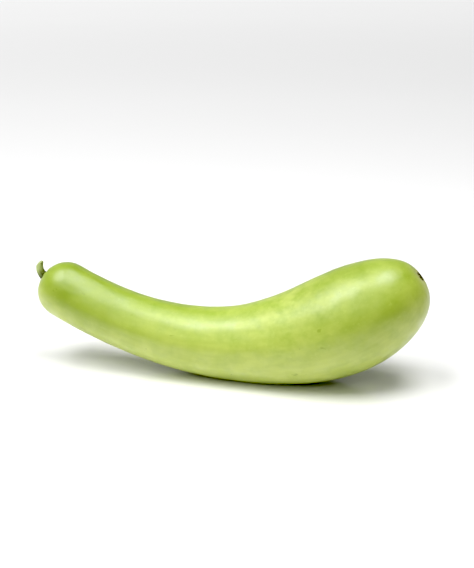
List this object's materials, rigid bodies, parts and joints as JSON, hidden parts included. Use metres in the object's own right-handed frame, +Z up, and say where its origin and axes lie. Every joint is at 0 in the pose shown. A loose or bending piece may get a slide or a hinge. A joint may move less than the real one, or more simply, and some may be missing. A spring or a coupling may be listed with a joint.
{
  "type": "bottle gourd",
  "caption": "Whole bottle gourd lying on its side: a smooth bent fruit, narrow at the neck and full at the blossom end, with a ribbed stalk stub and a dry blossom scar.",
  "frame": {"origin": "on the ground, under the middle of the gourd's bounding box", "axes": "+Z up from the ground, +X from the stalk end to the blossom end, +Y across the fruit, to the side that its bend leans to"},
  "size_m": [0.3618, 0.0962, 0.1138],
  "materials": {
    "skin": "satin",
    "stem_bark": "matte",
    "cork": "matte"
  },
  "bodies": {
    "root": {"fruit": "skin", "stem": "stem_bark", "blossom_scar": "cork"}
  },
  "joints": []
}
